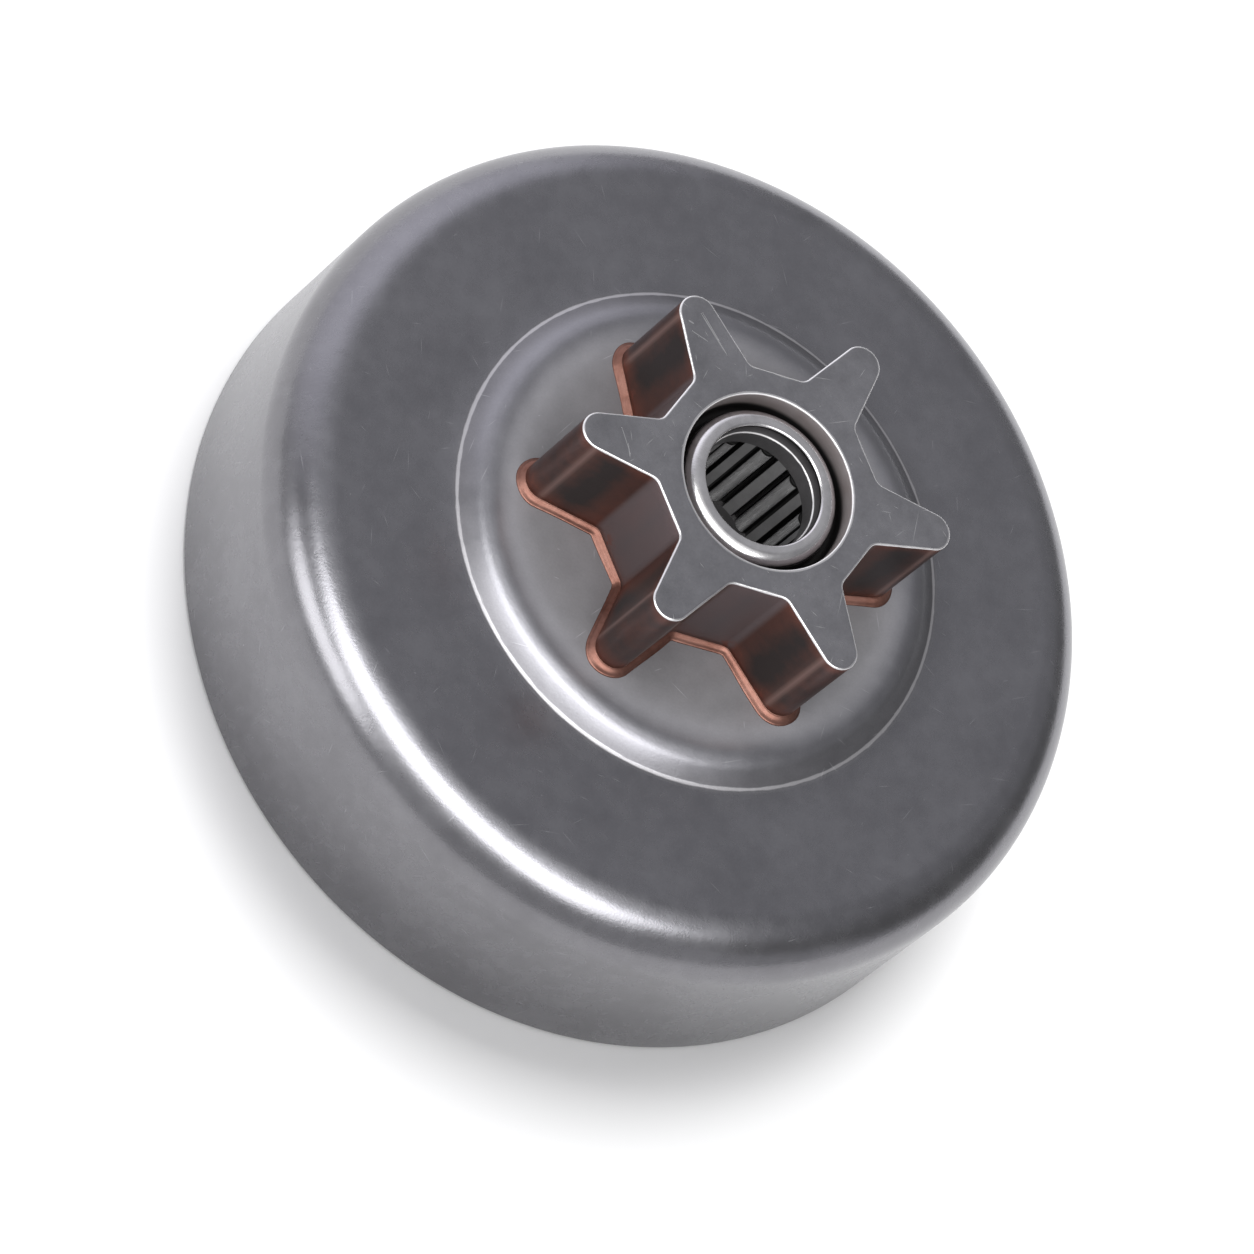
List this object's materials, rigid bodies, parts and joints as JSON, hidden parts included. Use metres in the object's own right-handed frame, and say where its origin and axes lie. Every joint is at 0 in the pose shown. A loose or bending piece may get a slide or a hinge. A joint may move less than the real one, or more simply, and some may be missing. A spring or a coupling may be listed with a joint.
{
  "type": "clutch drum sprocket",
  "caption": "Stamped steel clutch drum with a raised boss, a brazed spur sprocket for saw chain, and a drawn-cup needle bearing in the sprocket's bore.",
  "frame": {"origin": "on the drum's axis, in the plane of its open rim, on which it rests", "axes": "+Z along the axis, out of the web on the sprocket's side; one tooth points along +X"},
  "size_m": [0.076, 0.076, 0.0333],
  "materials": {
    "drum_steel": "satin grey, tumbled",
    "sprocket_steel": "ground grey face, dark flanks",
    "braze_copper": "dull copper braze",
    "cup_steel": "bright drawn steel",
    "cage_steel": "dark oiled steel",
    "needle_steel": "ground steel"
  },
  "bodies": {
    "drum_body": {"drum": "drum_steel", "sprocket": "sprocket_steel", "braze_fillet": "braze_copper", "braze_ring": "braze_copper", "bearing_cup": "cup_steel"},
    "cage_body": {"bearing_cage": "cage_steel"},
    "needle_01_body": {"needle_01": "needle_steel"},
    "needle_02_body": {"needle_02": "needle_steel"},
    "needle_03_body": {"needle_03": "needle_steel"},
    "needle_04_body": {"needle_04": "needle_steel"},
    "needle_05_body": {"needle_05": "needle_steel"},
    "needle_06_body": {"needle_06": "needle_steel"},
    "needle_07_body": {"needle_07": "needle_steel"},
    "needle_08_body": {"needle_08": "needle_steel"},
    "needle_09_body": {"needle_09": "needle_steel"},
    "needle_10_body": {"needle_10": "needle_steel"}
  },
  "joints": [
    {"name": "cage_spin", "type": "hinge", "parent": "drum_body", "child": "cage_body", "pos_m": [0, 0, 0.02405], "axis": [0, 0, 1], "continuous": true},
    {"name": "needle_01_roll", "type": "hinge", "parent": "cage_body", "child": "needle_01_body", "pos_m": [0.00575, 0, 0.02405], "axis": [0, 0, 1], "continuous": true},
    {"name": "needle_02_roll", "type": "hinge", "parent": "cage_body", "child": "needle_02_body", "pos_m": [0.00465, 0.00338, 0.02405], "axis": [0, 0, 1], "continuous": true},
    {"name": "needle_03_roll", "type": "hinge", "parent": "cage_body", "child": "needle_03_body", "pos_m": [0.00178, 0.00547, 0.02405], "axis": [0, 0, 1], "continuous": true},
    {"name": "needle_04_roll", "type": "hinge", "parent": "cage_body", "child": "needle_04_body", "pos_m": [-0.00178, 0.00547, 0.02405], "axis": [0, 0, 1], "continuous": true},
    {"name": "needle_05_roll", "type": "hinge", "parent": "cage_body", "child": "needle_05_body", "pos_m": [-0.00465, 0.00338, 0.02405], "axis": [0, 0, 1], "continuous": true},
    {"name": "needle_06_roll", "type": "hinge", "parent": "cage_body", "child": "needle_06_body", "pos_m": [-0.00575, 0, 0.02405], "axis": [0, 0, 1], "continuous": true},
    {"name": "needle_07_roll", "type": "hinge", "parent": "cage_body", "child": "needle_07_body", "pos_m": [-0.00465, -0.00338, 0.02405], "axis": [0, 0, 1], "continuous": true},
    {"name": "needle_08_roll", "type": "hinge", "parent": "cage_body", "child": "needle_08_body", "pos_m": [-0.00178, -0.00547, 0.02405], "axis": [0, 0, 1], "continuous": true},
    {"name": "needle_09_roll", "type": "hinge", "parent": "cage_body", "child": "needle_09_body", "pos_m": [0.00178, -0.00547, 0.02405], "axis": [0, 0, 1], "continuous": true},
    {"name": "needle_10_roll", "type": "hinge", "parent": "cage_body", "child": "needle_10_body", "pos_m": [0.00465, -0.00338, 0.02405], "axis": [0, 0, 1], "continuous": true}
  ],
  "couplings": [
    {"joint": "needle_01_roll", "follows": "cage_spin", "ratio": -8.6933},
    {"joint": "needle_02_roll", "follows": "cage_spin", "ratio": -8.6933},
    {"joint": "needle_03_roll", "follows": "cage_spin", "ratio": -8.6933},
    {"joint": "needle_04_roll", "follows": "cage_spin", "ratio": -8.6933},
    {"joint": "needle_05_roll", "follows": "cage_spin", "ratio": -8.6933},
    {"joint": "needle_06_roll", "follows": "cage_spin", "ratio": -8.6933},
    {"joint": "needle_07_roll", "follows": "cage_spin", "ratio": -8.6933},
    {"joint": "needle_08_roll", "follows": "cage_spin", "ratio": -8.6933},
    {"joint": "needle_09_roll", "follows": "cage_spin", "ratio": -8.6933},
    {"joint": "needle_10_roll", "follows": "cage_spin", "ratio": -8.6933}
  ]
}
